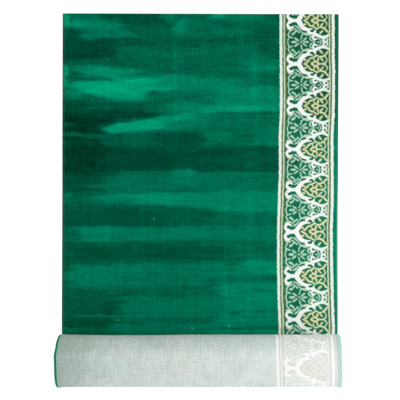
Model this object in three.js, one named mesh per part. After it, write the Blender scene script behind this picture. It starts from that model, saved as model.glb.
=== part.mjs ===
// A mosque carpet, six metres of it, with its front end still rolled up.
//
// The carpet is one woven strip. It lies pile up on the floor, and at the front it turns up and
// over into a roll, so the roll shows its back. Each long side is overcast with green yarn.
// Millimetres, +X to the right, +Y away from the roll, +Z up. The origin is on the floor, in the
// middle of the ground that the carpet covers.

import * as THREE from "three";

// Driving dimensions.
const CARPET_WIDTH = 1050; // over both overcast edges
const CARPET_LENGTH = 6000; // of the whole strip, laid out flat
const SPREAD_LENGTH = 1310; // the part that lies unrolled, up to where it turns up
const ROLL_HEIGHT = 202;
const ROLL_SETTLE = 4; // how much wider than round the roll has sunk under its own weight
const HALF_TURNS = 25; // in the roll, from the floor to the cloth's inner end
const CLOTH_THICKNESS = 6; // woven back and pile together
const EDGE_WIDTH = 8; // of the overcast yarn along each long side
const EDGE_THICKNESS = 5.4; // the yarn draws the pile down a little
const JOIN_GAP = 0.3; // between the cloth and the yarn that wraps its edge
const STEPS_PER_QUARTER_TURN = 7;

const OUTER_RADIUS = ROLL_HEIGHT / 2;
const TURN_UP_Y = (OUTER_RADIUS - SPREAD_LENGTH) / 2; // where the cloth leaves the floor
const FAR_END_Y = TURN_UP_Y + SPREAD_LENGTH;

// From one layer of the roll to the next, so that its half turns use up the rolled length. Each
// half turn is half a layer smaller than the one outside it, and a flat run joins it to the next.
const LAYER_PITCH =
  (4 / (Math.PI * HALF_TURNS * (HALF_TURNS - 1))) *
  (Math.PI * HALF_TURNS * (OUTER_RADIUS - CLOTH_THICKNESS / 2) +
    (HALF_TURNS - 1) * ROLL_SETTLE -
    (CARPET_LENGTH - SPREAD_LENGTH));

// The front halves share one centre and the rear halves another, half a layer higher, so that
// they meet without a kink at the top and at the bottom of the roll.
const FRONT_CENTRE = new THREE.Vector2(TURN_UP_Y, OUTER_RADIUS);
const REAR_CENTRE = new THREE.Vector2(TURN_UP_Y + ROLL_SETTLE, OUTER_RADIUS + LAYER_PITCH / 2);

const PILE_GREEN = new THREE.MeshStandardMaterial({ color: 0x00563f, roughness: 0.95 });
const YARN_GREEN = new THREE.MeshStandardMaterial({ color: 0x1c7a5a, roughness: 0.8 });

// The half turns of the roll, from the outside in. A front one runs from the bottom round to the
// top, and a rear one from the top down to the bottom.
function halfTurns() {
  return Array.from({ length: HALF_TURNS }, (_, n) => ({
    centre: n % 2 ? REAR_CENTRE : FRONT_CENTRE,
    radius: OUTER_RADIUS - (n * LAYER_PITCH) / 2,
    start: n % 2 ? Math.PI / 2 : -Math.PI / 2,
  }));
}

// The outline of the cloth seen from its side: down the cut far end, along the back, into the
// middle of the roll, and out again along the face. An arc that starts away from the end of the
// last line or arc is joined to it by a straight line, which lays the spread part flat on the
// floor and gives the roll its slightly flattened top and foot.
function clothSection(thickness) {
  const outline = new THREE.Shape();
  outline.moveTo(FAR_END_Y, thickness);
  outline.lineTo(FAR_END_Y, 0);
  for (const { centre, radius, start } of halfTurns()) {
    outline.absarc(centre.x, centre.y, radius, start, start - Math.PI, true);
  }
  for (const { centre, radius, start } of halfTurns().reverse()) {
    outline.absarc(centre.x, centre.y, radius - thickness, start - Math.PI, start, false);
  }
  outline.closePath();
  return outline;
}

// A lengthwise strip of the carpet. In the frame that holds it, the section's own axes are Y and
// Z, and the strip grows along X from its left side.
function strip(name, thickness, left, width, material) {
  const geometry = new THREE.ExtrudeGeometry(clothSection(thickness), {
    depth: width,
    bevelEnabled: false,
    curveSegments: STEPS_PER_QUARTER_TURN,
  });
  const mesh = new THREE.Mesh(geometry, material);
  mesh.name = name;
  mesh.position.z = left;
  return mesh;
}

const sectionFrame = new THREE.Group();
sectionFrame.rotation.set(Math.PI / 2, Math.PI / 2, 0);

const leftSide = -CARPET_WIDTH / 2;
const clothLeft = leftSide + EDGE_WIDTH + JOIN_GAP;
sectionFrame.add(strip("carpet", CLOTH_THICKNESS, clothLeft, -2 * clothLeft, PILE_GREEN));
sectionFrame.add(strip("left_edge", EDGE_THICKNESS, leftSide, EDGE_WIDTH, YARN_GREEN));
sectionFrame.add(strip("right_edge", EDGE_THICKNESS, -leftSide - EDGE_WIDTH, EDGE_WIDTH, YARN_GREEN));

const carpet = new THREE.Group();
carpet.add(sectionFrame);

export default carpet;
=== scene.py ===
# %% [markdown]
# # A mosque carpet, partly rolled
# This lesson dresses a rigid model of a carpet. The model is one strip of cloth, six metres long.
# Its far end lies flat with the pile up, and the rest is wound into a roll that shows the woven
# back. Everything is in metres. The floor is at zero, +Y points away from the roll and +Z is up.

# %% Load the frame
import math
from contextlib import contextmanager

import bpy
import numpy as np
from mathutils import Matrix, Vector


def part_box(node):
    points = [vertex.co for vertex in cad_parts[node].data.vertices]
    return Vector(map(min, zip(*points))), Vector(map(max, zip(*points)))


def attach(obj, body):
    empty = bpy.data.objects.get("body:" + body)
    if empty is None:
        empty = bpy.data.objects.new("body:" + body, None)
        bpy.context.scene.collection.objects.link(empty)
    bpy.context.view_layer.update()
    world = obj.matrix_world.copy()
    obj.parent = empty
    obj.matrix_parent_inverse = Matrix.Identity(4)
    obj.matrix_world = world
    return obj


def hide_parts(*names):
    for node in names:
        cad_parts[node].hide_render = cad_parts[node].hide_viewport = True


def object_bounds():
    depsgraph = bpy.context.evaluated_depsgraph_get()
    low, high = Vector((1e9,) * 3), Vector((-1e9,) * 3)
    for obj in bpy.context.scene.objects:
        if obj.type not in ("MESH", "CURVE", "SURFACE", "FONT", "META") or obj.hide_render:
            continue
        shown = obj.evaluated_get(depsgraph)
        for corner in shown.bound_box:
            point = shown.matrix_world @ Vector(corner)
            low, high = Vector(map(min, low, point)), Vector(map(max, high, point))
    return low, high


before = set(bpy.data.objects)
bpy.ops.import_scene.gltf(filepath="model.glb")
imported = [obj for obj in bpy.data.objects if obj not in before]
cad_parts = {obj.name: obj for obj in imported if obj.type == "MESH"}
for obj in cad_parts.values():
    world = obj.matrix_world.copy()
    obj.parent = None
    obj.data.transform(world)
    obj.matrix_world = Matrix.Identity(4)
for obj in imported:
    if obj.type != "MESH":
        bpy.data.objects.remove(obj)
cad_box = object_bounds()
print("CAD box:", [tuple(round(c, 4) for c in corner) for corner in cad_box])

# %% [markdown]
# ## Sizes
# The cloth is a surface with a simple rule: straight on the floor, then half circles that shrink a
# little each time. Only the sizes of that rule are needed, and they are the model's own. Working
# in millimetres keeps the numbers easy to read, so MM turns them into Blender's metres at the end.

# %% The carpet's sizes
MM = 0.001
CARPET_LENGTH = 6000
SPREAD_LENGTH = 1310
ROLL_HEIGHT = 202
ROLL_SETTLE = 4
HALF_TURNS = 25
CLOTH_THICKNESS = 6

OUTER_RADIUS = ROLL_HEIGHT / 2
FAR_END_Y = cad_box[1].y / MM
TURN_UP_Y = FAR_END_Y - SPREAD_LENGTH
CLOTH_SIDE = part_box("carpet")[1].x / MM
LAYER_PITCH = (4 / (math.pi * HALF_TURNS * (HALF_TURNS - 1))) * (
    math.pi * HALF_TURNS * (OUTER_RADIUS - CLOTH_THICKNESS / 2)
    + (HALF_TURNS - 1) * ROLL_SETTLE
    - (CARPET_LENGTH - SPREAD_LENGTH)
)
ROLL_TIGHTNESS = 0.956
WAIST_AT = -270
WAIST_REACH = 190
WAIST_SQUEEZE = 0.012
WAIST_SHIFT = 0.9
least_pitch = LAYER_PITCH * (ROLL_TIGHTNESS - WAIST_SQUEEZE)
print(f"one layer of the roll is {least_pitch:.2f} mm from the next, at its tightest")

# %% [markdown]
# ## The line of the cloth
# Seen from its side the cloth is one long line. For a distance along the strip we want the place
# of its middle layer and the way its pile points. Each half turn of the roll is an arc and a short
# flat run. numpy finds the half turn for thousands of places at once, which a loop would do slowly.
# The model's roll is 4 mm wider than round. Here it is drawn in a little, as if pulled tight, and
# a little more at a waist left of the middle, where hands squeezed it.

# %% Where a place along the cloth lies
turn = np.arange(HALF_TURNS)
is_front = turn % 2 == 0
arc_radius = OUTER_RADIUS - CLOTH_THICKNESS / 2 - turn * LAYER_PITCH / 2
centre_y = np.where(is_front, TURN_UP_Y, TURN_UP_Y + ROLL_SETTLE)
centre_z = np.where(is_front, OUTER_RADIUS, OUTER_RADIUS + LAYER_PITCH / 2)
first_angle = np.where(is_front, -math.pi / 2, math.pi / 2)
turn_length = math.pi * arc_radius + ROLL_SETTLE
turn_start = SPREAD_LENGTH + np.concatenate([[0], np.cumsum(turn_length)[:-1]])
ROLL_AXIS_Y = TURN_UP_Y + ROLL_SETTLE / 2


def cloth_line(along, across):
    """(y, z, pile_y, pile_z) in millimetres, for places on the flat strip, from its far end."""
    along = np.asarray(along, float)
    k = np.clip(np.searchsorted(turn_start, along, "right") - 1, 0, HALF_TURNS - 1)
    into = along - turn_start[k]
    arc = np.minimum(into, math.pi * arc_radius[k])
    angle = first_angle[k] - arc / arc_radius[k]
    run = np.where(is_front[k], 1, -1) * (into - arc)
    y = centre_y[k] + arc_radius[k] * np.cos(angle) + run
    waist = np.exp(-(((across - WAIST_AT) / WAIST_REACH) ** 4))
    tightness = ROLL_TIGHTNESS - WAIST_SQUEEZE * waist
    y = ROLL_AXIS_Y + (y - ROLL_AXIS_Y) * tightness - WAIST_SHIFT * waist
    z = centre_z[k] + arc_radius[k] * np.sin(angle)
    flat = along < SPREAD_LENGTH
    return (
        np.where(flat, FAR_END_Y - along, y),
        np.where(flat, CLOTH_THICKNESS / 2, z),
        np.where(flat, 0, -np.cos(angle)),
        np.where(flat, 1, -np.sin(angle)),
    )


print("the roll's first layer is", round(float(turn_length[0]), 1), "mm from floor to top")

# %% [markdown]
# ## A strip is never quite true
# A loom holds its edges to a few millimetres, and a roll wound by hand wanders sideways. Each
# wander is a table of places along the cloth, with how far off true it lies there, eased from one
# place to the next. A table is easy to adjust, which is why no simulation is used here.

# %% A table whose columns have names
def table(columns, *rows):
    """Rows of numbers, kept as columns that are read by name."""
    return {name: np.array(values, float) for name, values in zip(columns.split(), zip(*rows))}

# %% How the strip wanders
# at: place along the cloth. left, right: how far each side lies to the right of true.
WANDER = table(
    "at left right",
    (0, -3, 2),
    (600, -4.2, 0),
    (1200, -6, -1),
    (1380, -5, 0),
    (1470, -9, 1),
    (1500, -10.5, -3),
    (1560, -11, -6),
    (1610, -10.5, -8.5),
    (1650, -12, -9.5),
    (1690, -8, -8),
    (1740, -5, -6),
    (1790, 2, -8),
    (1930, 0, -12),
    (2300, -2, -13),
    (2900, 2, -12),
    (3600, -1, -14),
    (4600, 2, -10),
    (6000, -1, -12),
)
# inner, outer: how far the border's two sides are woven to the right of true. gain: how far it
# runs ahead.
BORDER_SIDES = (307, 506)
BORDER_WANDER = table(
    "at inner outer gain",
    (0, -1, -4, 0),
    (150, 0, -3.5, -2),
    (225, 1, -1.5, -5),
    (300, 1.5, -1.5, -2),
    (370, 1.5, -2.5, -1),
    (480, -2, -7, -6),
    (590, -1, -6, -1.2),
    (700, -4.5, -5.5, 5),
    (770, -6.5, -7.5, 7.5),
    (820, -8, -9, 6),
    (940, -8, -8, -0.6),
    (1050, -6, -5, -1),
    (1200, -1.5, -0.5, -5),
    (1460, -14, -16, 45),
    (1560, -15, -16, 45),
    (1630, -15, -16, 43),
    (1680, -16, -17, 42),
    (1740, -17, -17, 43),
    (2600, -6, -8, 40),
    (6000, 0, 0, 40),
)
print("the strip's right side lies up to", -WANDER["right"].min(), "mm to the left of true")

# %% Ease from one row of a table to the next
def ease(wander, column, along):
    """The value of a column at places along the cloth, eased between the rows of its table."""
    at, value = wander["at"], wander[column]
    along = np.asarray(along, float)
    k = np.clip(np.searchsorted(at, along, "right") - 1, 0, len(at) - 2)
    t = np.clip((along - at[k]) / (at[k + 1] - at[k]), 0, 1)
    return value[k] + (value[k + 1] - value[k]) * t * t * (3 - 2 * t)


def cloth_x(across, along):
    """The X of a place on the cloth, across from its middle, in millimetres."""
    share = (across + CLOTH_SIDE) / (2 * CLOTH_SIDE)
    left = ease(WANDER, "left", along)
    right = ease(WANDER, "right", along)
    return across + left + (right - left) * share


def border_drift(across, along):
    """How far the border lies to the right of true at a place on the cloth."""
    share = np.clip((across - BORDER_SIDES[0]) / (BORDER_SIDES[1] - BORDER_SIDES[0]), 0, 1)
    inner = ease(BORDER_WANDER, "inner", along)
    return inner + (ease(BORDER_WANDER, "outer", along) - inner) * share


print("the border lies up to", -BORDER_WANDER["inner"].min(), "mm to the left of true")

# %% [markdown]
# ## Brushed pile
# Short dense pile leans one way or another wherever a hand or a foot has brushed it, and each
# patch catches the light more or less. That sheen is painted into the colour, lighter or darker.
# The patches are long bands that cross the carpet. Each row below is one stroke of a brush: where
# it starts and ends, its upper and lower edge at both ends, the lean it leaves behind, and how soft
# its sides are. Later strokes go over earlier ones, as they do on a real carpet. The result is kept
# on the vertices, which costs no extra nodes.

# %% Strokes: wide ones along the sides
# start, end, upper and lower edge at the start, the same at the end, lean, softness up, down, ends
WIDE_STROKES = [
    (270, 580, -60, 300, -60, 300, 0.38, 60, 300, 60),
    (270, 580, 420, 1400, 420, 1400, 0.50, 300, 60, 60),
    (400, 580, -60, 420, -60, 420, 0.34, 60, 200, 60),
    (400, 580, 560, 1400, 560, 1400, 0.56, 300, 60, 60),
    (490, 580, 440, 1080, 440, 1080, 0.60, 140, 60, 24),
    (490, 580, 525, 580, 525, 580, 0.50, 20, 20, 24),
    (490, 580, 770, 815, 770, 815, 0.50, 20, 20, 24),
    (490, 580, 1100, 1300, 1100, 1300, 0.50, 60, 60, 24),
    (-530, -440, 0, 1230, 0, 1230, 0.37, 9, 9, 70),
]

# %% Strokes: the far end
# start, end, upper and lower edge at the start, the same at the end, lean, softness up, down, ends
FAR_STROKES = [
    (-530, -330, -20, 24, -20, 24, 0.45, 9, 30, 70),
    (-390, -140, -20, 36, -20, 42, 0.29, 9, 26, 60),
    (-520, -440, 52, 180, 50, 170, 0.26, 14, 20, 50),
    (-500, -310, 12, 58, 24, 68, 0.54, 20, 22, 80),
    (-440, -240, 58, 96, 62, 94, 0.52, 20, 6, 70),
    (-250, -60, 48, 78, 40, 76, 0.38, 20, 20, 60),
    (-390, -245, 93, 101, 90, 98, 0.26, 4, 6, 30),
    (-455, -310, 24, 50, 40, 62, 0.62, 10, 12, 60),
    (-490, -440, 26, 50, 32, 50, 0.68, 12, 10, 30),
    (-145, -100, -20, 28, -20, 26, 0.52, 9, 14, 24),
    (-100, -48, 20, 74, 18, 70, 0.60, 18, 18, 26),
    (-92, -60, 80, 100, 80, 98, 0.58, 10, 10, 16),
    (-50, 40, 30, 78, 30, 78, 0.46, 20, 14, 40),
    (36, 112, -20, 20, -20, 18, 0.70, 9, 14, 26),
    (104, 235, -20, 28, -20, 24, 0.54, 9, 14, 40),
    (45, 175, 54, 74, 54, 74, 0.50, 14, 12, 40),
    (200, 300, 40, 150, 40, 150, 0.36, 30, 30, 50),
    (-270, 290, 90, 112, 88, 114, 0.36, 12, 16, 60),
    (-515, -320, 102, 172, 98, 165, 0.22, 14, 20, 70),
    (-346, -200, 104, 128, 100, 124, 0.33, 14, 14, 60),
    (-310, -90, 128, 170, 126, 168, 0.44, 18, 22, 50),
    (-55, 100, 124, 158, 128, 154, 0.47, 18, 18, 50),
    (-90, -10, 100, 125, 105, 125, 0.36, 16, 16, 30),
    (160, 300, 172, 226, 176, 222, 0.52, 20, 20, 50),
    (200, 285, 196, 215, 192, 214, 0.60, 12, 12, 30),
    (-465, -220, 192, 236, 214, 254, 0.62, 20, 18, 80),
    (-420, -310, 200, 230, 206, 248, 0.70, 16, 14, 60),
    (-240, -20, 222, 252, 236, 254, 0.52, 20, 16, 70),
    (-540, -500, -20, 50, -20, 44, 0.80, 9, 22, 20),
    (-540, -504, 196, 288, 200, 282, 0.76, 22, 24, 20),
    (-510, -440, 252, 322, 256, 322, 0.60, 14, 24, 50),
    (-260, -20, 238, 306, 242, 296, 0.64, 12, 18, 80),
    (-110, 130, 238, 286, 244, 292, 0.60, 14, 20, 80),
    (-480, -320, 260, 296, 256, 324, 0.80, 10, 24, 60),
    (-370, -150, 251, 336, 245, 322, 0.80, 6, 44, 110),
    (-420, -280, 266, 300, 262, 302, 0.88, 14, 20, 70),
    (-300, -190, 250, 264, 246, 260, 0.88, 5, 10, 40),
    (-210, 30, 296, 332, 292, 330, 0.44, 12, 20, 60),
    (-50, 70, 292, 304, 288, 302, 0.50, 8, 10, 40),
    (40, 320, 272, 350, 276, 350, 0.60, 24, 10, 70),
    (90, 240, 284, 302, 286, 304, 0.66, 12, 12, 50),
]

# %% Strokes: the middle
# start, end, upper and lower edge at the start, the same at the end, lean, softness up, down, ends
MIDDLE_STROKES = [
    (-530, -200, 334, 362, 336, 366, 0.36, 14, 16, 70),
    (-530, -430, 334, 366, 334, 366, 0.24, 14, 16, 60),
    (-120, 60, 330, 392, 334, 388, 0.56, 24, 18, 70),
    (-70, 50, 356, 386, 352, 384, 0.62, 10, 16, 50),
    (0, 320, 350, 374, 345, 370, 0.70, 8, 8, 60),
    (120, 225, 350, 370, 349, 368, 0.78, 8, 8, 50),
    (-530, -190, 368, 408, 368, 396, 0.18, 18, 10, 70),
    (-530, -330, 396, 452, 396, 460, 0.10, 14, 14, 110),
    (-370, -80, 426, 460, 390, 440, 0.58, 8, 16, 60),
    (-120, 60, 384, 440, 378, 430, 0.54, 14, 24, 60),
    (-230, -20, 404, 424, 378, 400, 0.70, 10, 20, 70),
    (-345, -130, 424, 454, 398, 436, 0.78, 7, 12, 60),
    (60, 320, 382, 436, 384, 434, 0.46, 14, 14, 50),
    (210, 320, 436, 502, 434, 502, 0.53, 16, 14, 36),
    (30, 125, 448, 488, 448, 486, 0.48, 16, 16, 40),
    (-530, -300, 466, 606, 466, 600, 0.12, 14, 16, 190),
    (-515, -462, 454, 468, 453, 466, 0.42, 7, 7, 22),
    (-435, -350, 458, 476, 456, 474, 0.36, 9, 10, 30),
    (-470, -390, 486, 504, 486, 502, 0.24, 10, 10, 30),
    (-380, -190, 466, 514, 462, 514, 0.38, 14, 18, 50),
    (-160, 10, 456, 508, 458, 504, 0.29, 14, 18, 50),
    (-430, 320, 514, 604, 502, 600, 0.28, 16, 12, 170),
    (-530, -310, 514, 620, 506, 612, 0.12, 16, 20, 190),
    (-370, -100, 516, 596, 512, 590, 0.22, 18, 16, 80),
    (100, 320, 512, 592, 510, 590, 0.34, 20, 18, 90),
    (-530, -290, 622, 684, 618, 680, 0.27, 22, 24, 170),
    (-380, 320, 611, 684, 607, 680, 0.48, 12, 14, 160),
    (-300, -110, 600, 612, 598, 610, 0.42, 6, 8, 60),
    (-110, -14, 594, 648, 592, 644, 0.57, 16, 30, 40),
    (-530, -330, 684, 734, 684, 734, 0.42, 14, 24, 80),
    (-518, -490, 688, 722, 684, 720, 0.52, 14, 14, 16),
    (-170, -30, 676, 688, 672, 684, 0.40, 5, 5, 50),
    (-370, 320, 684, 720, 676, 750, 0.61, 9, 14, 90),
    (-260, -90, 688, 722, 686, 728, 0.68, 14, 14, 70),
    (40, 320, 730, 752, 734, 756, 0.62, 10, 7, 60),
]

# %% Strokes: near the roll
# start, end, upper and lower edge at the start, the same at the end, lean, softness up, down, ends
NEAR_STROKES = [
    (-530, 80, 748, 812, 754, 812, 0.32, 12, 14, 80),
    (-130, 60, 762, 812, 764, 812, 0.37, 14, 14, 60),
    (40, 320, 764, 812, 764, 812, 0.44, 14, 14, 70),
    (-370, -230, 742, 764, 740, 760, 0.27, 8, 12, 50),
    (-530, 320, 814, 866, 810, 860, 0.52, 12, 16, 60),
    (-260, 20, 818, 860, 816, 858, 0.56, 14, 14, 70),
    (-480, -310, 812, 868, 812, 868, 0.57, 14, 16, 70),
    (-530, -460, 812, 868, 812, 868, 0.40, 14, 16, 50),
    (-530, 180, 884, 944, 878, 938, 0.34, 22, 26, 90),
    (-480, -310, 894, 934, 894, 930, 0.28, 18, 22, 70),
    (-180, -60, 894, 926, 888, 922, 0.29, 18, 20, 50),
    (100, 320, 876, 936, 872, 932, 0.44, 20, 20, 80),
    (-500, -170, 958, 1044, 952, 1040, 0.56, 20, 26, 80),
    (-210, 20, 954, 1040, 956, 1036, 0.50, 20, 26, 70),
    (0, 200, 952, 1004, 950, 1000, 0.56, 12, 16, 60),
    (175, 320, 938, 996, 938, 992, 0.64, 14, 16, 44),
    (90, 160, 954, 962, 950, 957, 0.34, 3, 5, 14),
    (10, 270, 1006, 1018, 1008, 1020, 0.46, 8, 8, 50),
    (250, 295, 1000, 1016, 1000, 1014, 0.40, 7, 7, 16),
    (70, 320, 1026, 1134, 1022, 1130, 0.62, 14, 16, 70),
    (44, 68, 1056, 1074, 1054, 1072, 0.42, 8, 8, 12),
    (200, 295, 1050, 1060, 1050, 1062, 0.50, 6, 6, 26),
    (-530, -340, 1092, 1166, 1096, 1160, 0.37, 34, 16, 80),
    (-350, -270, 1092, 1086, 1066, 1078, 0.28, 8, 12, 26),
    (-370, -300, 1098, 1144, 1096, 1136, 0.32, 14, 14, 34),
    (-300, 100, 1080, 1159, 1080, 1157, 0.53, 20, 10, 70),
    (-470, -60, 1150, 1157, 1149, 1156, 0.52, 4, 4, 60),
    # These strokes beside the roll are painted sheen, set brighter still to cancel the roll's shadow on
    # the pile: painted light.
    (-530, -330, 1162, 1196, 1162, 1198, 0.32, 8, 14, 130),
    (-530, -340, 1198, 1240, 1198, 1240, 0.46, 14, 9, 90),
    (-300, 60, 1162, 1176, 1166, 1178, 0.47, 5, 7, 60),
    (-340, 60, 1180, 1240, 1180, 1240, 0.58, 8, 9, 80),
    (60, 320, 1140, 1194, 1140, 1194, 0.61, 10, 8, 60),
    (170, 300, 1194, 1206, 1192, 1204, 0.52, 6, 6, 24),
    (40, 320, 1206, 1240, 1206, 1240, 0.72, 6, 9, 60),
]
STROKES = WIDE_STROKES + FAR_STROKES + MIDDLE_STROKES + NEAR_STROKES
print(len(STROKES), "strokes of the brush")

# %% Fold marks
# Marks from when the carpet lay folded: place across, half width, from, to, change of lean.
FOLD_MARKS = [
    (-97, 7, 110, 320, 0.07),
    (-98, 5, 330, 520, 0.05),
    (-345, 5, 60, 520, -0.05),
    (-350, 8, 160, 900, 0.04),
    (100, 5, 380, 1180, 0.05),
    (204, 16, 120, 340, 0.07),
    (190, 9, 560, 1150, 0.04),
    (50, 5, 250, 480, -0.04),
    (-250, 4, 230, 620, 0.04),
    (240, 8, 0, 1220, -0.03),
]
print(len(FOLD_MARKS), "fold marks")

# %% Brush the pile
BRUSH_SEED = 7
WHOLE_WAVE = 6.28
UNBRUSHED = 0.42
FOLD_SOFTNESS = 30
# The sides of a stroke sway at these paces. Its ends are ragged at these, by a share of their
# softness.
SIDE_PACES = (46, 21, 13)
SWAY = 0.22
END_PACES = ((9.3, 0.22), (4.1, 0.16))
UNEVEN_SPOTS = 70


def soft_step(value):
    """Rises smoothly from 0 to 1 as the value goes from -0.5 to 0.5."""
    t = np.clip(value + 0.5, 0, 1)
    return t * t * (3 - 2 * t)


def brushed(across, along):
    """Painted sheen: how far the pile leans to the light at each place, 0 darkest and 1 brightest."""
    rng = np.random.default_rng(BRUSH_SEED)
    # Painted light: the pile grows a little brighter towards the right, where the lamp stands.
    lean = UNBRUSHED + 0.05 * across / CLOTH_SIDE
    for start, end, top_1, foot_1, top_2, foot_2, to, soft_up, soft_down, ends in STROKES:
        share = np.clip((across - start) / (end - start), 0, 1)
        waves = [
            rng.uniform(0.5, 1.4) * np.sin(across / pace + rng.uniform(0, WHOLE_WAVE))
            for pace in SIDE_PACES
        ]
        sway = sum(waves) * min(soft_up, 10) * SWAY
        top = top_1 + (top_2 - top_1) * share + sway
        foot = foot_1 + (foot_2 - foot_1) * share + sway * 0.5
        inside = soft_step((along - top) / soft_up) * soft_step((foot - along) / soft_down)
        tips = [by * np.sin(along / pace + rng.uniform(0, WHOLE_WAVE)) for pace, by in END_PACES]
        ragged = ends * sum(tips)
        inside = inside * soft_step((across - start + ragged) / ends)
        inside = inside * soft_step((end - across + ragged) / ends)
        lean = lean + (to - lean) * inside
    for place, half, first, last, change in FOLD_MARKS:
        mark = np.exp(-(((across - place) / half) ** 2))
        begun = soft_step((along - first) / FOLD_SOFTNESS)
        lean = lean + change * mark * begun * soft_step((last - along) / FOLD_SOFTNESS)
    for _ in range(UNEVEN_SPOTS):
        x, s = rng.uniform(-500, 300), rng.uniform(0, 1300)
        reach, breadth = rng.uniform(20, 120), rng.uniform(4, 12)
        bump = np.exp(-(((along - s) / breadth) ** 2) - ((across - x) / reach) ** 2)
        lean = lean + rng.uniform(-0.07, 0.07) * bump
    return np.clip(lean, 0, 1.05)


middle_lean = brushed(np.array(0.0), np.array(SPREAD_LENGTH / 2))
print(f"half way along, the pile leans by {middle_lean:.2f}")

# %% [markdown]
# ## The cloth
# The carpet is one sheet. A grid is its simplest start: it has rows across and along, so every
# vertex knows its place on the flat cloth before it is wound. The part that is seen gets many
# rows. The turns inside the roll get few, from a second grid that is bridged to the first, which
# keeps the piece light. Solidify then gives the sheet its thickness, its back and its cut ends.

# %% Select and edit a piece
def deselect():
    """Nothing stays selected, so that an operator acts only on what comes next."""
    if bpy.context.object and bpy.context.object.mode != "OBJECT":
        bpy.ops.object.mode_set(mode="OBJECT")
    bpy.ops.object.select_all(action="DESELECT")


def work_on(piece):
    """Only this piece is selected, and it is the active one."""
    deselect()
    piece.select_set(True)
    bpy.context.view_layer.objects.active = piece
    return piece


@contextmanager
def editing(piece):
    """The piece is in edit mode for as long as the block runs."""
    work_on(piece)
    bpy.ops.object.mode_set(mode="EDIT")
    yield
    bpy.ops.object.mode_set(mode="OBJECT")

# %% Values on the vertices
def read(mesh, attribute):
    """An attribute of the vertices, as numbers."""
    values = np.empty(len(mesh.vertices))
    mesh.attributes[attribute].data.foreach_get("value", values)
    return values


def write(mesh, **attributes):
    """Keeps values on the vertices, each under its own name."""
    for attribute, values in attributes.items():
        layer = mesh.attributes.new(attribute, "FLOAT", "POINT")
        layer.data.foreach_set("value", values)

# %% A grid of flat cloth
ROLL_SHOWN_TO = 2250
PINCH = 14


def places(count):
    """Places across the cloth. They are closer together by the sides, where it is pinched."""
    inner = np.linspace(-CLOTH_SIDE + PINCH, CLOTH_SIDE - PINCH, count)
    side = np.array([0, 5, 9])
    return np.concatenate([-CLOTH_SIDE + side, inner, CLOTH_SIDE - side[::-1]])


def cloth_grid(name, across, along):
    """A grid whose vertices remember their places on the flat cloth, as attributes."""
    deselect()
    bpy.ops.mesh.primitive_grid_add(
        x_subdivisions=len(across) - 1, y_subdivisions=len(along) - 1, size=1
    )
    piece = bpy.context.object
    piece.name = name
    mesh = piece.data
    flat = np.empty(len(mesh.vertices) * 3)
    mesh.vertices.foreach_get("co", flat)
    flat = flat.reshape(-1, 3) + 0.5
    column = np.rint(flat[:, 0] * (len(across) - 1)).astype(int)
    row = np.rint(flat[:, 1] * (len(along) - 1)).astype(int)
    write(mesh, across=across[column], along=along[row])
    # The grid brings a map of its own, which says nothing about the cloth.
    mesh.uv_layers.remove(mesh.uv_layers[0])
    print(name, "has", len(mesh.vertices), "vertices")
    return piece

# %% Bridge two lines of a grid
SAME_PLACE = 0.01


def on_line(values, *lines):
    """The number of the line that each vertex lies on, counted from 1, or 0 for none."""
    number = np.zeros(len(values), int)
    for count, place in enumerate(lines, 1):
        number[np.abs(values - place) < SAME_PLACE] = count
    return number


def bridge(piece, line):
    """Fills the gap between two lines of vertices with faces."""
    with editing(piece):
        bpy.ops.mesh.select_mode(type="EDGE")
        bpy.ops.mesh.select_all(action="DESELECT")
    for edge in piece.data.edges:
        a, b = edge.vertices
        edge.select = bool(line[a] and line[a] == line[b])
    with editing(piece):
        bpy.ops.mesh.bridge_edge_loops()

# %% The two grids, joined into one sheet
ROW_STEP = 6
spread_rows = np.linspace(0, SPREAD_LENGTH, 256)
shown_rows = np.linspace(SPREAD_LENGTH, ROLL_SHOWN_TO, 88)[1:]
hidden_rows = np.linspace(ROLL_SHOWN_TO + ROW_STEP, CARPET_LENGTH, 520)

outside = cloth_grid("carpet_cloth", places(113), np.concatenate([spread_rows, shown_rows]))
inside = cloth_grid("carpet_inside", places(5), hidden_rows)
work_on(outside)
inside.select_set(True)
bpy.ops.object.join()

cloth = work_on(bpy.context.object)
mesh = cloth.data
bridge(cloth, on_line(read(mesh, "along"), ROLL_SHOWN_TO, hidden_rows[0]))
print("the sheet has", len(mesh.polygons), "faces before it is wound")

# %% [markdown]
# ## Winding it up
# Now each vertex moves from the flat grid to its place on the line of the cloth. The outer layer
# is not a perfect cylinder: it lifts by a millimetre here and there, so a smooth seeded field is
# added along the way that the pile points. The overcast yarn is thicker than the cloth, and many
# layers of it make the ends of the roll flare, so the outer layer also swells near its sides.

# %% How far the cloth lifts
ROLL_LIFT = 0.8
SPREAD_LIFT = 0.6
LIFT_SIZE = 260
LIFT_SEED = 3
# So many waves seldom add up to more than the peak.
FIELD_WAVES = 7
FIELD_PEAK = 4
FLAT_BY_ROLL = 120
EASED_OVER = 200
END_FLARE = 3.0
FLARE_REACH = 11
ROLL_TOP = 1620
TOP_REACH = 260


def soft_field(across, along, seed, size):
    """A smooth field from -1 to 1: a few slow waves in seeded directions."""
    rng = np.random.default_rng(seed)
    total = 0.0
    for _ in range(FIELD_WAVES):
        heading, phase = rng.uniform(0, math.pi), rng.uniform(0, WHOLE_WAVE)
        pace = 2 * math.pi / (size * rng.uniform(0.6, 1.8))
        reach = across * math.cos(heading) + along * math.sin(heading)
        total = total + np.sin(pace * reach + phase)
    return total / FIELD_PEAK


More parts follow.
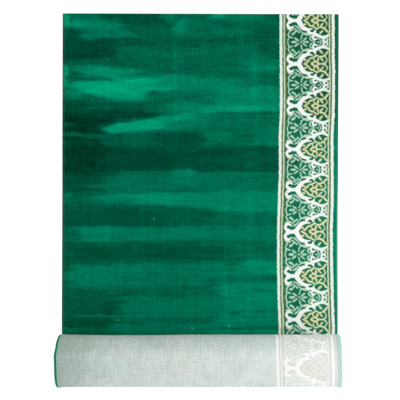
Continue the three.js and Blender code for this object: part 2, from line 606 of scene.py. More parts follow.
def lift(across, along):
    """How far the cloth stands away from true, towards its pile. The roll lifts outwards."""
    field = 0.5 + 0.5 * np.clip(soft_field(across, along, LIFT_SEED, LIFT_SIZE), -1, 1)
    spread = np.clip((SPREAD_LENGTH - FLAT_BY_ROLL - along) / EASED_OVER, 0, 1)
    top = np.clip(1 - np.abs(along - ROLL_TOP) / TOP_REACH, 0, 1)
    flare = END_FLARE * np.exp(-(CLOTH_SIDE - np.abs(across)) / FLARE_REACH)
    return SPREAD_LIFT * spread * field - np.sqrt(top) * (ROLL_LIFT * field + flare)


print(f"on top of the roll the middle stands {-lift(0.0, ROLL_TOP):.1f} mm out")

# %% Wind the sheet
OUT_OF_SQUARE = 0.8
SLANT_REACH = 60


def cut_slant(across, along):
    """The far end was cut a little out of square. It gives how far a place moves away."""
    near_end = np.clip(1 - along / SLANT_REACH, 0, 1)
    return near_end * OUT_OF_SQUARE * (1 - 2 * across / CLOTH_SIDE)


def wind(mesh, across, along, beside=0.0, out=0.0):
    """Moves the vertices from the flat cloth to its line, beside it to the right and out towards
    the pile."""
    y, z, pile_y, pile_z = cloth_line(along, across)
    out = out + lift(across, along)
    x = cloth_x(across, along) + beside
    y = y + cut_slant(across, along)
    spots = np.stack([x, y + out * pile_y, z + out * pile_z], -1) * MM
    mesh.vertices.foreach_set("co", spots.ravel())
    mesh.update()


across, along = read(mesh, "across"), read(mesh, "along")
wind(mesh, across, along)
with editing(cloth):
    bpy.ops.mesh.select_all(action="SELECT")
    bpy.ops.mesh.flip_normals()
# The pile's lean is kept on the vertices as painted sheen, light or dark.
write(mesh, pile_lean=brushed(across, along))

# %% Maps that follow the cloth
def add_map(mesh, name, across, along):
    """A UV map in metres of cloth, from values in millimetres on the vertices."""
    corner = np.empty(len(mesh.loops), int)
    mesh.loops.foreach_get("vertex_index", corner)
    spots = np.stack([across[corner], along[corner]], -1) * MM
    mesh.uv_layers.new(name=name).data.foreach_set("uv", spots.ravel())


add_map(mesh, "cloth_metres", across, along)
add_map(
    mesh,
    "border_metres",
    across - border_drift(across, along),
    along + ease(BORDER_WANDER, "gain", along),
)

# %% Give the sheet its thickness
PINCHED_TO = 0.72
pinched = cloth.vertex_groups.new(name="thickness")
from_side = np.clip((CLOTH_SIDE - np.abs(across)) / PINCH, 0, 1)
for share in np.unique(from_side):
    weight = PINCHED_TO + (1 - PINCHED_TO) * share
    pinched.add(np.nonzero(from_side == share)[0].tolist(), weight, "REPLACE")

work_on(cloth)
for name in ("green_pile", "woven_back", "cut_end"):
    mesh.materials.append(bpy.data.materials.new(name))
thicken = cloth.modifiers.new("thickness", "SOLIDIFY")
thicken.thickness = CLOTH_THICKNESS * MM
thicken.offset = 0
thicken.vertex_group = "thickness"
thicken.material_offset = 1
thicken.material_offset_rim = 2
bpy.ops.object.modifier_apply(modifier=thicken.name)
cloth.vertex_groups.clear()
bpy.ops.object.shade_smooth_by_angle(angle=math.radians(40))

# All the pile beyond the middle lies flat.
flat_tops = [p for p in mesh.polygons if p.material_index == 0 and p.center.y > 0]
facing = min(p.normal.z for p in flat_tops)
on_top = min(p.center.z for p in flat_tops) / MM
print(f"pile faces lie {on_top:.1f} mm or more above the floor")
print("triangles in the cloth:", sum(len(p.vertices) - 2 for p in mesh.polygons))
print(f"the pile faces up: least normal {facing:.3f}")

# %% [markdown]
# ## Overcast edges
# Each long side is overcast: yarn goes round the edge again and again, from the back over to the
# pile, and every stitch leans a little. Modelling each stitch as its own tube would be heavy.
# Instead one C-shaped section runs along the whole strip, and its outside swells and sinks once
# for each stitch. Shifting the swell along the section makes the stitches lean. It starts as a
# grid again, with a column for each point of the section. The grid is wound as the cloth is, its
# first and last columns are bridged, and its two ends are filled.

# %% The section of the yarn
STITCH = 4.2
STITCH_LEAN = 0.9
STITCH_SWELL = 0.8
MEAN_RIDGE = 0.6
# out: how far out from the cloth's side. up: how far towards the pile. swell: how much of a ridge
# it takes. round: 0 on the pile, 1 at the rim and 2 at the end of the stitch on the back.
YARN_SECTION = table(
    "out up swell round",
    (-4.8, -2.40, 0.2, 2.0),
    (-5.0, -2.95, 0.7, 1.8),
    (-1.5, -3.10, 1.0, 1.6),
    (3.0, -3.00, 1.0, 1.4),
    (6.4, -2.00, 1.0, 1.2),
    (7.8, 0.00, 1.0, 1.0),
    (6.4, 2.00, 1.0, 0.7),
    (3.0, 2.95, 1.0, 0.4),
    (-0.5, 3.00, 0.8, 0.2),
    (-2.6, 2.55, 0.2, 0.0),
    (0.3, 2.20, 0.0, 0.0),
    (0.3, -2.20, 0.0, 2.0),
)
print("the yarn's section has", len(YARN_SECTION["out"]), "points")

# %% Wind a section of yarn along an edge
# A stitch has four rows where it shows and three inside the roll.
shown_stitches = np.arange(0, ROLL_SHOWN_TO, STITCH / 4)
hidden_stitches = np.arange(ROLL_SHOWN_TO, CARPET_LENGTH, STITCH / 3)
yarn_rows = np.concatenate([shown_stitches, hidden_stitches])


def wind_yarn(mesh, side, point, along):
    """Puts each vertex on its point of the section. It gives how much of a ridge is there."""
    out, up, swell = (YARN_SECTION[name][point] for name in ("out", "up", "swell"))
    lean = STITCH_LEAN * point / point.max()
    ridge = np.abs(np.sin(math.pi * (along / STITCH + lean)))
    grow = 1 + STITCH_SWELL * (ridge - MEAN_RIDGE) * swell / np.hypot(out, up)
    wind(mesh, side * CLOTH_SIDE, along, side * out * grow, up * grow)
    return ridge

# %% The two overcast edges
def overcast_edge(name, side):
    """One edge of overcast yarn. side is -1 on the left and 1 on the right."""
    columns = np.arange(len(YARN_SECTION["out"]))
    piece = cloth_grid(name, columns, yarn_rows)
    mesh = piece.data
    point, along = read(mesh, "across").astype(int), read(mesh, "along")
    ridge = wind_yarn(mesh, side, point, along)
    bridge(piece, on_line(point, columns[0], columns[-1]))
    with editing(piece):
        bpy.ops.mesh.select_all(action="SELECT")
        bpy.ops.mesh.fill_holes(sides=len(columns))
        bpy.ops.mesh.normals_make_consistent(inside=False)
    # The yarn takes the painted sheen of the pile beside it.
    lean = brushed(side * CLOTH_SIDE, along)
    write(mesh, round=YARN_SECTION["round"][point], ridge=ridge, pile_lean=lean)
    add_map(mesh, "cloth_metres", YARN_SECTION["out"][point], along)
    work_on(piece)
    bpy.ops.object.shade_smooth_by_angle(angle=math.radians(60))
    print(name, "has", round(CARPET_LENGTH / STITCH), "stitches and", len(mesh.polygons), "faces")
    return piece


left_yarn = overcast_edge("overcast_left", -1)
right_yarn = overcast_edge("overcast_right", 1)

# %% [markdown]
# ## Helpers for materials
# A material is a tree of nodes. Short helpers add a node, set it and link it in one line, so that
# the recipe of a finish reads from top to bottom. A socket knows its tree, so the helpers find the
# tree in what they are fed. Colours are given as they look on a screen, and are turned into the
# linear values that the renderer wants.

# %% Helpers: a colour and a node
def screen(red, green, blue):
    """A colour as it looks on a screen, 0 to 255, in the renderer's linear values."""
    parts = [c / 255 for c in (red, green, blue)]
    return [p / 12.92 if p <= 0.04045 else ((p + 0.055) / 1.055) ** 2.4 for p in parts] + [1]


def feed(socket, value):
    """Links a socket to another one, or sets its value."""
    if isinstance(value, bpy.types.NodeSocket):
        socket.id_data.links.new(value, socket)
    elif value is not None:
        socket.default_value = value


def put(kind, inputs, **settings):
    """Adds a node to the tree of what feeds it, with its settings."""
    tree = next(v.id_data for v in inputs.values() if isinstance(v, bpy.types.NodeSocket))
    node = tree.nodes.new("ShaderNode" + kind)
    for name, value in settings.items():
        setattr(node, name, value)
    for name, value in inputs.items():
        feed(node.inputs[name], value)
    return node

# %% Helpers: sums
def calc(operation, a, b=None, c=None):
    """One sum. It gives the socket of its result."""
    return put("Math", {0: a, 1: b, 2: c}, operation=operation).outputs[0]


def add_to(value, *others):
    """Adds other values to one, each by its own amount."""
    for other, amount in others:
        value = calc("MULTIPLY_ADD", other, amount, value)
    return value


def vector(operation, a, b=None, scale=None):
    """One sum with vectors. A length, a distance and a dot product are numbers."""
    feeds = {0: a, 1: b} if scale is None else {0: a, "Scale": scale}
    node = put("VectorMath", feeds, operation=operation)
    gives = "Value" if operation in ("DOT_PRODUCT", "LENGTH", "DISTANCE") else "Vector"
    return node.outputs[gives]


def split(value):
    """The X, Y and Z of a vector."""
    return put("SeparateXYZ", {0: value}).outputs


def flat_vector(x, y):
    """A vector of two values."""
    return put("CombineXYZ", {"X": x, "Y": y}).outputs[0]


def flat_noise(spot, detail):
    """Noise round zero at a flat spot."""
    feeds = {"Vector": spot, "Scale": 1.0, "Detail": detail}
    noise = put("TexNoise", feeds, noise_dimensions="2D").outputs[0]
    return calc("SUBTRACT", noise, 0.5)


def ramp(value, low, high, to_low=0.0, to_high=1.0):
    """Eases a value from one range to another and stops at its ends."""
    feeds = {"Value": value, 1: low, 2: high, 3: to_low, 4: to_high}
    node = put("MapRange", feeds, interpolation_type="SMOOTHSTEP", clamp=False)
    return node.outputs["Result"]

# %% Helpers: colours over colours
def blend(share, a, b):
    """One colour laid over another by a share from 0 to 1. Three numbers are a screen colour."""
    a, b = (screen(*c) if isinstance(c, tuple) else c for c in (a, b))
    feeds = {"Factor": share, 6: a, 7: b}
    return put("Mix", feeds, data_type="RGBA", clamp_factor=True).outputs[2]


def lay_over(colour, *layers):
    """Lays colours over one another. Each layer has its mask, its strength and its colour."""
    for mask, strength, top in layers:
        share = mask if strength == 1 else calc("MULTIPLY", mask, strength)
        colour = blend(share, colour, top)
    return colour

# %% Helpers: groups
def new_group(name, inputs, outputs):
    """A shader group: the tree, what comes in and what goes out."""
    tree = bpy.data.node_groups.new(name, "ShaderNodeTree")
    for where, sockets in (("INPUT", inputs), ("OUTPUT", outputs)):
        for label, kind in sockets.items():
            tree.interface.new_socket(label, in_out=where, socket_type="NodeSocket" + kind)
    comes_in = tree.nodes.new("NodeGroupInput").outputs
    goes_out = tree.nodes.new("NodeGroupOutput").inputs
    return tree, comes_in, goes_out


def use(group, inputs):
    """Places a group in another tree and gives its outputs."""
    return put("Group", inputs, node_tree=group).outputs

# %% [markdown]
# ## The border's drawing
# The border is woven in. It repeats lobed arches, each round a palmette, with a flower between
# them, and each half of a repeat mirrors the other. So only one half is drawn, and a ping-pong
# of the distance along the cloth lays it out. Every shape is a tapered strand or a petal. Each
# gives its distance from a point, and the least distance of a colour's shapes is its outline.
# Rounding the point to the carpet's tufts first steps the outlines as a loom does.

# %% Groups for a strand and a petal
strand_tree, came, goes = new_group(
    "strand",
    {"Point": "Vector", "Start": "Vector", "Reach": "Vector", "Width": "Float", "Taper": "Float"},
    {"Distance": "Float"},
)
from_start = vector("SUBTRACT", came["Point"], came["Start"])
reached = vector("DOT_PRODUCT", from_start, came["Reach"])
whole = vector("DOT_PRODUCT", came["Reach"], came["Reach"])
share = calc("DIVIDE", reached, whole)
share = calc("MAXIMUM", calc("MINIMUM", share, 1), 0)
foot = vector("SCALE", came["Reach"], scale=share)
gap = vector("DISTANCE", from_start, foot)
half_width = calc("MULTIPLY_ADD", share, came["Taper"], came["Width"])
feed(goes["Distance"], calc("SUBTRACT", gap, half_width))

petal_tree, came, goes = new_group(
    "petal",
    {"Point": "Vector", "Centre": "Vector", "Turn": "Vector", "Size": "Vector", "Breadth": "Float"},
    {"Distance": "Float"},
)
feeds = {0: came["Point"], 1: came["Centre"], 2: came["Turn"], 3: came["Size"]}
mapped = put("Mapping", feeds, vector_type="TEXTURE").outputs[0]
beyond = calc("SUBTRACT", vector("LENGTH", mapped), 1)
feed(goes["Distance"], calc("MULTIPLY", beyond, came["Breadth"]))


def petal(point, centre, size, angle=0, breadth=1):
    """How far a point lies outside a petal, turned by an angle in degrees."""
    return use(petal_tree, {
        "Point": point, "Centre": (*centre, 0), "Turn": (0, 0, math.radians(angle)),
        "Size": (*size, 1), "Breadth": breadth,
    })[0]

# %% The shapes of half a repeat
# The length of half a repeat, the axis of the first arch, the left side of the band, and one tuft.
HALF_REPEAT = 81.2
FIRST_AXIS = 24.4
BAND_LEFT = 332
TUFT = 1.9
# Strands: places (across the band, away from the arch's axis, half width), in millimetres.
STRANDS = {
    "white": [
        [(9, 0, 6.2), (32, 0, 6.8), (44, 2, 8)],
        [(42.5, 3, 9.4), (51, 17.5, 8.5), (59.8, 29, 7.5), (73, 34, 6.0), (86, 33.5, 3.0),
         (95, 32, 1.6)],
        [(14, 3, 6.5), (4, 8, 5.6), (-1.5, 16, 4.4), (2, 25, 5.0), (10.5, 28.5, 4.6),
         (18, 26.5, 3.2), (21, 21.5, 2.0)],
        [(80, 36, 4), (79, 43, 5), (87, 48, 4.4), (96, 49.3, 4.0), (104.3, 45.5, 5.0), (106, 40, 3.4),
         (105, 36.5, 1.6)],
        [(100, 50.5, 4.5), (110, 54, 6.2), (121, 59, 5), (131, 63, 5.5), (142, 62.5, 5.5),
         (152, 58, 4.5), (158, 54, 3.5)],
        [(99, 57, 2.8), (96.8, 63, 3.6), (99, 69, 4.0), (104, 72, 3.3), (110, 70, 2.6),
         (112.5, 66, 2.0)],
    ],
    "gold": [
        [(60, -0.5, 1.6), (66, 2.5, 1.9), (72.5, 4.8, 3.0), (79, 10, 3.0), (83, 17, 3.0),
         (90, 21.5, 3.0), (98, 22.5, 2.8), (104, 27, 2.6), (112, 31.5, 2.6)],
        [(113, 31.5, 1.8), (119.5, 26.5, 2.0), (127, 20, 2.5)],
        [(120, 25, 2.2), (129, 25.8, 2.8), (138, 28, 3.1), (145.5, 34, 3.0), (151.5, 41.5, 3.3),
         (156, 45, 2.2)],
        [(118, 0, 3.8), (130, -0.5, 2.4), (139, 2, 2.2)],
        [(98.5, 19, 1.7), (100.5, 13, 1.7), (106, 10, 2.6)],
        [(112, 9, 2.8), (116.5, 15, 3.2), (115, 20.5, 2.6)],
    ],
    "mint": [
        [(62, 50, 2.8), (55.5, 53, 2.2), (52.5, 60, 2.5), (52, 66, 2.4), (48.5, 71.5, 1.4)],
        [(29, 21.5, 2.0), (36, 24, 3.2), (43, 29, 3.0), (49, 37, 2.4), (54, 44.5, 1.8),
         (61, 48.7, 2.9), (73, 51.7, 4.9), (82, 54, 2.8), (88, 53, 2.0)],
        [(17.8, 51.2, 4.4), (24, 48, 3.2), (31, 40, 2.4), (31, 33, 2.2), (25.5, 30, 1.4)],
        [(31, 36, 2.3), (38, 40, 2.6), (44, 45.5, 3.0)],
        [(12, 37, 2.2), (8, 42, 2.8), (3, 49, 2.7), (1.5, 56, 2.4), (4.5, 62, 2.8), (2.5, 69, 2.6),
         (0.5, 76, 2.1), (-0.5, 82, 2.2)],
        [(7, 62, 2.6), (17, 65.5, 2.4)],
        [(20, 34, 1.6), (27, 31, 1.4)],
        [(95, 58, 2.2), (89, 61, 3.0), (85.5, 67, 3.0), (88, 73, 2.8), (92.5, 76.5, 1.7), (98, 79.5, 1.2)],
        [(97, 72, 1.6), (102, 77, 2.4), (103.5, 82, 2.8)],
        [(118, 66.5, 1.4), (122, 70, 2.0), (127, 76, 2.1), (128.5, 82, 2.1)],
    ],
    "sage": [
        [(139, 1.5, 2.6), (146, 5, 2.8), (151, 12.5, 2.2), (149, 20, 1.9), (144, 27, 2.2)],
        [(2, 33, 3.6), (11, 35.5, 3.2), (19, 36, 2.4)],
    ],
}
# Petals: centre (across, away), half length, half breadth, turn in degrees. A minus sign before
# the colour cuts the petal out of it.
PETALS = [
    ("white", 106.5, 57.5, 6, 2.8, 20),
    ("white", 144.5, 73, 11, 12, 0),
    ("-white", 146, 73.5, 4.8, 4.2, 0),
    ("-white", 154, 65.5, 4.8, 2.8, 10),
    ("-white", 129, 71, 3.2, 2.2, 60),
    ("gold", 105, 0, 15.8, 8.8, 0),
    ("-gold", 106, 0, 8, 4, 0),
    ("gold", 66, 14.5, 6.2, 3.2, -12),
    ("sage", 128.5, 44.5, 10, 4.2, -48),
    ("sage", 131, 15.5, 8.5, 3.4, -43),
    ("sage", 75.5, 51, 8.2, 3.8, 8),
    ("mint", 23, 81.2, 11, 4.6, 0),
    ("mint", 50.5, 82, 4.6, 3.6, 0),
    ("mint", 71, 81.2, 10.5, 4.0, 0),
    ("mint", 33.7, 71, 10.5, 3.5, 36),
    ("mint", 64.5, 71, 11.5, 3.0, -37),
    ("mint", 117.5, 81.2, 4.6, 2.6, 0),
]
# Stripes that run beside the band: colour, middle and half width, across from the band's left.
STRIPES = [
    ("white", -26.5, 5.0),
    ("white", 175.0, 5.4),
    ("sage", -13.4, 2.9),
    ("sage", 160.6, 2.7),
    ("line", -19.3, 2.0),
    ("line", -7.0, 1.8),
    ("line", 166.8, 2.4),
    ("line", 156.2, 0.6),
]
print(sum(len(line) - 1 for lines in STRANDS.values() for line in lines), "strands")

# %% The group that draws the border
COLOURS = ("white", "gold", "mint", "sage", "line")
border_tree, came, goes = new_group(
    "border drawing",
    {"Cloth place": "Vector", "Softness": "Float"},
    {name.capitalize(): "Float" for name in (*COLOURS, "shade", "ring")},
)
in_mm = vector("SCALE", came["Cloth place"], scale=1 / MM)
stepped = vector("SNAP", in_mm, (TUFT, TUFT, TUFT))
centred = vector("ADD", stepped, (TUFT / 2 - BAND_LEFT, TUFT / 2 - FIRST_AXIS, 0))
parts = split(centred)
across_band = parts["X"]
point = flat_vector(across_band, calc("PINGPONG", parts["Y"], HALF_REPEAT))
least = {}


def join(colour, found):
    """Adds a shape to its colour, where the least distance of all shapes is kept."""
    least[colour] = calc("MINIMUM", least[colour], found) if colour in least else found


for colour in COLOURS:
    for _, middle, half in [s for s in STRIPES if s[0] == colour]:
        off = calc("ABSOLUTE", calc("SUBTRACT", across_band, middle))
        join(colour, calc("SUBTRACT", off, half))
    for line in STRANDS.get(colour, ()):
        for (x, d, width), (x2, d2, width2) in zip(line, line[1:]):
            join(colour, use(strand_tree, {
                "Point": point, "Start": (x, d, 0), "Reach": (x2 - x, d2 - d, 0),
                "Width": width, "Taper": width2 - width,
            })[0])
    for name, x, d, length, breadth, angle in [p for p in PETALS if p[0].endswith(colour)]:
        found = petal(point, (x, d), (length, breadth), angle, breadth)
        if name.startswith("-"):
            cut = calc("MULTIPLY", found, -1)
            least[colour] = calc("MAXIMUM", least[colour], cut)
        else:
            join(colour, found)
inward = calc("MULTIPLY", came["Softness"], -1)
for colour in COLOURS:
    shown = ramp(least[colour], came["Softness"], inward)
    feed(goes[colour.capitalize()], shown)
# The tufts round the gold are half gold and half green, so an olive shade rings it. Middle green
# rings the mint for the same reason.
feed(goes["Shade"], ramp(least["gold"], 5.5, 0.5))
feed(goes["Ring"], ramp(least["mint"], 3.0, 0.5))
print("the border drawing has", len(border_tree.nodes), "nodes")

# %% [markdown]
# ## Fibre texture
# Pile, back and yarn all show fibres that are finer than the shapes above. One group makes the
# grain for all three: noise in the cloth's own metres, stretched by different amounts along and
# across. It gives a value round zero, which each material turns into colour and relief.

# %% The group for fibre grain
grain_tree, came, goes = new_group(
    "fibre grain",
    {"Cloth place": "Vector", "Across": "Float", "Along": "Float", "Detail": "Float"},
    {"Grain": "Float"},
)
stretch = flat_vector(came["Across"], came["Along"])
spot = vector("MULTIPLY", came["Cloth place"], stretch)
feed(goes["Grain"], flat_noise(spot, came["Detail"]))

# %% The group for threads
# Each thread has a shade of its own, which changes slowly as the thread runs on. In the noise,
# two threads lie so far apart that their shades have nothing in common.
THREADS_APART = 7.31
thread_tree, came, goes = new_group(
    "threads",
    {"Beside": "Float", "Onward": "Float", "Pitch": "Float", "Run": "Float"},
    {"Shade": "Float"},
)
number = calc("FLOOR", calc("DIVIDE", came["Beside"], came["Pitch"]))
apart = calc("MULTIPLY", number, THREADS_APART)
onward = calc("DIVIDE", came["Onward"], came["Run"])
spot = flat_vector(apart, onward)
feed(goes["Shade"], flat_noise(spot, 1.0))

# %% Helpers that begin and end a material
def map_place(tree, name):
    """A place on one of the piece's own maps."""
    node = tree.nodes.new("ShaderNodeUVMap")
    node.uv_map = name
    return node.outputs[0]


def kept(tree, name):
    """A value that the piece keeps on its vertices."""
    node = tree.nodes.new("ShaderNodeAttribute")
    node.attribute_name = name
    return node.outputs["Fac"]


def begin(name):
    """An empty material. It gives its tree, its Principled shader and the cloth's own place."""
    material = bpy.data.materials.get(name) or bpy.data.materials.new(name)
    material.use_nodes = True
    tree = material.node_tree
    tree.nodes.clear()
    shader = tree.nodes.new("ShaderNodeBsdfPrincipled")
    output = tree.nodes.new("ShaderNodeOutputMaterial")
    feed(output.inputs["Surface"], shader.outputs[0])
    return tree, shader, map_place(tree, "cloth_metres")


def grain(place, across, along, detail=2.0):
    """Fibre grain at a number of grains for each metre across and along."""
    feeds = {"Cloth place": place, "Across": across, "Along": along, "Detail": detail}
    return use(grain_tree, feeds)[0]


def threads(beside, onward, pitch, run):
    """The shade of threads at a pitch in millimetres, changing over a run in millimetres."""
    feeds = {"Beside": beside, "Onward": onward, "Pitch": pitch * MM, "Run": run * MM}
    return use(thread_tree, feeds)[0]


def finish(shader, colour, roughness, shine, height, depth):
    """Feeds the shader. Its relief follows the height, to a depth in millimetres."""
    feed(shader.inputs["Base Color"], colour)
    shader.inputs["Roughness"].default_value = roughness
    shader.inputs["Specular IOR Level"].default_value = shine
    feeds = {"Height": height, "Strength": 1.0, "Distance": depth * MM}
    feed(shader.inputs["Normal"], put("Bump", feeds).outputs[0])

# %% [markdown]
# ## The pile
# The pile is cut polypropylene, dense and short. Its colour runs from nearly black green, where
# it leans away from the light, to a bright sea green. Long thin grain across the carpet looks
# like brushing, round grain looks like tufts, and a few specks glint. The border's cream, gold
# and pale green tufts lean too, so they take a little of the same light and dark.

# %% Material: pile, its green
# Lint caught in the pile: across, along, half length, half breadth, turn in degrees, strength.
LINT = [
    (-175, 783, 4.0, 2.6, 80, 0.6),
    (-24, 523, 3.2, 2.0, 40, 0.35),
    (-29, 1199, 6.0, 2.4, 15, 0.9),
    (111, 1189, 6.4, 2.6, -40, 0.8),
    (-311, 1168, 6.0, 1.9, -45, 0.6),
    (197, 526, 2.6, 1.9, 0, 0.35),
    (-148, 499, 3.4, 1.6, 20, 0.3),
]
tree, shader, place = begin("green_pile")
lean = kept(tree, "pile_lean")
parts = split(place)
brushing = grain(place, 14, 130)
cloudy = grain(place, 30, 60)
wisps = grain(place, 5, 55, 3.0)
rows = threads(parts["X"], parts["Y"], 8.4, 220)
clumps = grain(place, 110, 130)
tufts = grain(place, 330, 330, 1.0)
tone = add_to(
    lean, (brushing, 0.12), (cloudy, 0.12), (wisps, 0.12), (rows, 0.10), (clumps, 0.14),
    (tufts, 0.15),
)
# The tone picks a green from nearly black to bright: painted sheen of the leaning pile.
greens = put("ValToRGB", {0: tone})
stops = greens.color_ramp.elements
stops[0].position, stops[0].color = 0.0, screen(0, 28, 20)
stops[1].position, stops[1].color = 1.0, screen(0, 183, 132)
stops.new(0.35).color = screen(1, 85, 61)
stops.new(0.62).color = screen(1, 128, 95)
field = greens.outputs[0]

glint = ramp(grain(place, 290, 290, 0.0), 0.22, 0.36)
glint = calc("MULTIPLY", glint, ramp(lean, 0.1, 0.7, 0.13, 0.42))
glint = calc("MULTIPLY", glint, ramp(parts["Y"], 0.30, 0.62, 1.5, 0.75))
field = blend(glint, field, (34, 192, 142))
for x, s, long, wide, angle, strength in LINT:
    found = petal(place, (x * MM, s * MM), (long * MM, wide * MM), angle)
    field = blend(ramp(found, 0.3, -0.5, 0, strength), field, (64, 204, 168))

# %% Material: pile, its border
RAGGED = 4.4 * MM
PULLED = 4.0 * MM
BAND_MIDDLE = (BAND_LEFT + 60) * MM
ragged = calc("MULTIPLY", grain(place, 150, 150), RAGGED)
pulled = add_to(ragged, (grain(place, 30, 44), PULLED))
off_true = flat_vector(pulled, ragged)
border_place = vector("ADD", map_place(tree, "border_metres"), off_true)
drawing = use(border_tree, {"Cloth place": border_place, "Softness": 0.9})
tint = ramp(add_to(lean, (tufts, 0.9)), 0.0, 1.0)
mint = blend(tint, (154, 201, 170), (202, 240, 214))
gold = blend(tint, (211, 215, 160), (244, 246, 208))
sage = blend(tint, (192, 211, 166), (220, 233, 197))
cream = blend(tint, (242, 250, 241), (255, 255, 251))
from_middle = calc("SUBTRACT", split(border_place)["X"], BAND_MIDDLE)
beside = calc("ABSOLUTE", from_middle)
cream = lay_over(
    cream,
    (drawing["Shade"], 0.8, (255, 236, 218)),
    (ramp(beside, 60 * MM, 86 * MM, 0.0, 0.62), 1, (224, 240, 224)),
)
colour = lay_over(
    field,
    (ramp(beside, 88 * MM, 98 * MM, 0.09, 0.0), 1, (72, 104, 64)),
    (drawing["Ring"], 0.36, (72, 140, 108)),
    (drawing["Shade"], 0.62, (88, 120, 56)),
    (drawing["Line"], 1, (96, 112, 78)),
    (drawing["Mint"], 1, mint),
    (drawing["Sage"], 1, sage),
    (drawing["Gold"], 1, gold),
    (drawing["White"], 1, cream),
)
finish(shader, colour, 1.0, 0.0, tufts, 1.6)
print("pile:", len(tree.nodes), "nodes")

# %% [markdown]
# ## The woven back
# The back shows no pile, only pale ground yarns. Ribs run along the carpet and finer picks cross
# them, and no two yarns are quite the same shade. Painted shade darkens the left side, the back
# grows lighter towards the lamp on the right, and the far side of the roll, past its top, is
# painted darker where less light reaches it. The border's drawing shows through, much fainter and
# on whiter ground. Here it is the same group again, with softer outlines and colours that are
# nearly those of the ground.

# %% Material: woven back, its yarns
RIB = 5.0
PICK = 3.4
# Spots: across, along, half width, colour.
BACK_SPOTS = [
    (-373, 1571, 3.6, (120, 200, 176)),
    (-360, 1655, 3.2, (158, 166, 154)),
]
tree, shader, place = begin("woven_back")
parts = split(place)
unsteady = calc("MULTIPLY", grain(place, 12, 4, 1.0), 1.6)


def wave(place, pitch):
    """A wave for yarns at a pitch in millimetres, a little unsteady."""
    return calc("SINE", calc("MULTIPLY_ADD", place, 2 * math.pi / (pitch * MM), unsteady))


rib, pick, raised = wave(parts["X"], RIB), wave(parts["Y"], PICK), wave(parts["X"], 2 * RIB)
weave = add_to(rib, (pick, 0.5))
tone = add_to(
    0.16,
    (weave, 0.065),
    (raised, 0.06),
    (threads(parts["X"], parts["Y"], RIB, 48), 0.46),
    (threads(parts["Y"], parts["X"], PICK, 50), 0.3),
    (grain(place, 160, 200), 0.45),
    (grain(place, 14, 9, 3.0), 0.3),
    # Painted shade: darker at the left, lighter towards the right, and darker on the far side of the roll.
    (ramp(parts["X"], -0.62, -0.27, -0.05, 0.50), 1),
    (ramp(parts["Y"], 1.645, 1.690, 0.0, -0.19), 1),
    (parts["X"], 0.36),
)
ground = blend(tone, (158, 176, 167), (233, 240, 236))
warm = ramp(grain(place, 9, 12), -0.15, 0.25, 0.0, 0.55)
ground = blend(warm, ground, blend(tone, (168, 174, 160), (236, 237, 232)))
for x, s, size, tint in BACK_SPOTS:
    spot = petal(place, (x * MM, s * MM), (size * MM, size * MM))
    ground = blend(ramp(spot, 0.4, -0.8, 0.0, 0.7), ground, tint)

# %% Material: woven back, its border
border_place = map_place(tree, "border_metres")
drawing = use(border_tree, {"Cloth place": border_place, "Softness": 1.5})
beside = split(border_place)["X"]
whiter = ramp(beside, (BAND_LEFT - 34) * MM, (BAND_LEFT - 30) * MM, 0.0, 0.75)
light = blend(tone, (188, 197, 186), (232, 237, 229))
white = blend(tone, (238, 237, 232), (255, 254, 252))
colour = lay_over(
    ground,
    (whiter, 1, light),
    (drawing["Shade"], 0.3, (200, 198, 180)),
    (drawing["Line"], 0.42, (192, 192, 182)),
    (drawing["Mint"], 0.72, white),
    (drawing["Sage"], 0.85, (247, 243, 236)),
    (drawing["Gold"], 0.85, (247, 243, 236)),
    (drawing["White"], 1, white),
)
finish(shader, colour, 0.9, 0.1, weave, 0.14)
print("woven back:", len(tree.nodes), "nodes")

# %% [markdown]
# ## The cut ends
# At its two ends the strip is simply cut. The cut shows green pile above a thin pale layer of
# backing. The sheet's own rim has no map across its thickness, so the end stays one green, with
# grain that is stretched the way the pile stands.

# %% Material: cut end
tree, shader, place = begin("cut_end")
ends = grain(place, 600, 60)
tone = add_to(0.5, (ends, 1.2))
colour = blend(tone, (2, 52, 40), (10, 112, 84))
finish(shader, colour, 0.95, 0.5, ends, 0.5)
print("cut end:", len(tree.nodes), "nodes")

# %% [markdown]
# ## The overcast yarn
# The left edge is overcast in deep green, and its stitches end on the back in a paler thread. The
# right edge has a green thread over the pile and a pale mint one from the rim to the back. Each
# point of the section knows how far round it is, so that value picks the thread.

# %% Materials: overcast yarn
def yarn(name, on_pile, on_rim, on_back, stitch_end, far_creep, near_creep):
    """Yarn for one edge. on_pile: its colours where the pile is dark and bright. on_rim, on_back,
    stitch_end: the rest of the way round. The creeps say how far the rim's colour comes over the
    pile at the far end and near the roll."""
    tree, shader, place = begin(name)
    side, lean, ridge = (kept(tree, name) for name in ("round", "pile_lean", "ridge"))
    fibres = grain(place, 500, 900)
    along_edge = split(place)["Y"]
    crept = calc("ADD", side, ramp(along_edge, 0.42, 0.80, far_creep, near_creep))
    crept = calc("ADD", crept, ramp(along_edge, 0.92, 1.15, 0.0, -0.22))
    # Over the pile the yarn takes the pile's painted sheen, dark or bright.
    over = blend(ramp(lean, 0.1, 0.85), *on_pile)
    colour = lay_over(
        over,
        (ramp(crept, 0.55, 0.85), 1, on_rim),
        (ramp(side, 1.1, 1.3), 1, on_back),
        (ramp(side, 1.55, 1.7), 1, stitch_end),
    )
    fibre_shade = ramp(fibres, -0.35, 0.65, 0.0, 0.35)
    colour = blend(fibre_shade, colour, blend(0.5, colour, (8, 60, 46)))
    # Painted shade in the grooves between the stitches.
    groove_shade = ramp(ridge, 0.0, 0.8, 0.6, 0.0)
    colour = blend(groove_shade, colour, blend(0.6, colour, (2, 44, 34)))
    finish(shader, colour, 0.8, 0.15, fibres, 0.25)
    return bpy.data.materials[name]


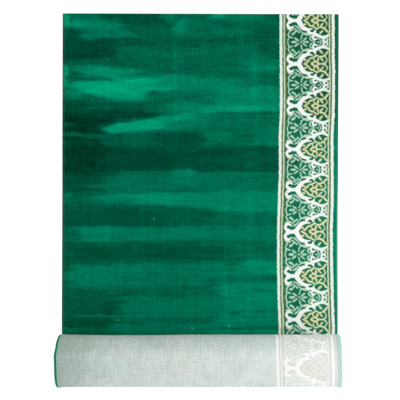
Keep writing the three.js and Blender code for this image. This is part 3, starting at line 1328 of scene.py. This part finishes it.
deep, mint_thread = (18, 130, 98), (192, 233, 218)
left_yarn.data.materials.append(yarn(
    "yarn_left", [(4, 66, 48), (12, 134, 96)], deep, deep, (172, 216, 196), -0.35, -0.35
))
right_yarn.data.materials.append(yarn(
    "yarn_right", [(10, 84, 62), (22, 150, 118)], (150, 220, 196), mint_thread, (216, 236, 228),
    -0.45, 0.28
))

# %% [markdown]
# ## Seating the pieces in the frame
# Each dressed piece moves with the root body, and the rigid piece that it stands for is hidden.

# %% Ride and replace
for piece, node, slot in (
    (cloth, "carpet", "pile"),
    (left_yarn, "left_edge", "edge_yarn"),
    (right_yarn, "right_edge", "edge_yarn"),
):
    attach(piece, "root")
    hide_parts(node)

# %% [markdown]
# ## Floor, light and camera
# The carpet is seen from straight above, on a floor so pale that it looks like a light table. The
# floor glows, so it shows no shadow and lights the roll from below. An even sky does the most, and
# one soft lamp on the right makes that side of the carpet a little brighter.

# %% The floor
FLOOR_SIDE = 14
FLOOR_DROP = 0.8 * MM
deselect()
bpy.ops.mesh.primitive_plane_add(size=FLOOR_SIDE, location=(0, 0, -FLOOR_DROP))
floor = bpy.context.object
floor.name = "floor"
material = bpy.data.materials.new("floor")
material.use_nodes = True
shader = material.node_tree.nodes["Principled BSDF"]
shader.inputs["Base Color"].default_value = screen(150, 152, 152)
shader.inputs["Roughness"].default_value = 1.0
shader.inputs["Specular IOR Level"].default_value = 0.0
shader.inputs["Emission Color"].default_value = (1, 1, 1, 1)
shader.inputs["Emission Strength"].default_value = 0.9
floor.data.materials.append(material)

# %% The light
scene = bpy.context.scene
world = bpy.data.worlds.new("soft sky")
scene.world = world
world.use_nodes = True
sky = world.node_tree.nodes["Background"]
sky.inputs["Color"].default_value = (0.97, 0.99, 1.0, 1)
sky.inputs["Strength"].default_value = 0.865

KEY_PLACE = (2.4, -0.5, 1.7)
KEY_AIM = (0.1, -0.1, 0)
key = bpy.data.lights.new("key", "AREA")
key.size = 1.2
key.energy = 20
lamp = bpy.data.objects.new("key", key)
scene.collection.objects.link(lamp)
lamp.location = KEY_PLACE
x, y, z = (aim - place for aim, place in zip(KEY_AIM, KEY_PLACE))
lamp.rotation_euler = (math.atan2(math.hypot(x, y), -z), 0, math.atan2(-x, y))
scene.view_settings.view_transform = "Standard"

# %% The camera
camera = bpy.data.objects.new("camera", bpy.data.cameras.new("camera"))
scene.collection.objects.link(camera)
camera.data.lens = 103
camera.data.sensor_width = 36
camera.data.clip_end = 50
camera.location = (-0.0030, -0.0043, 4.372)
scene.camera = camera
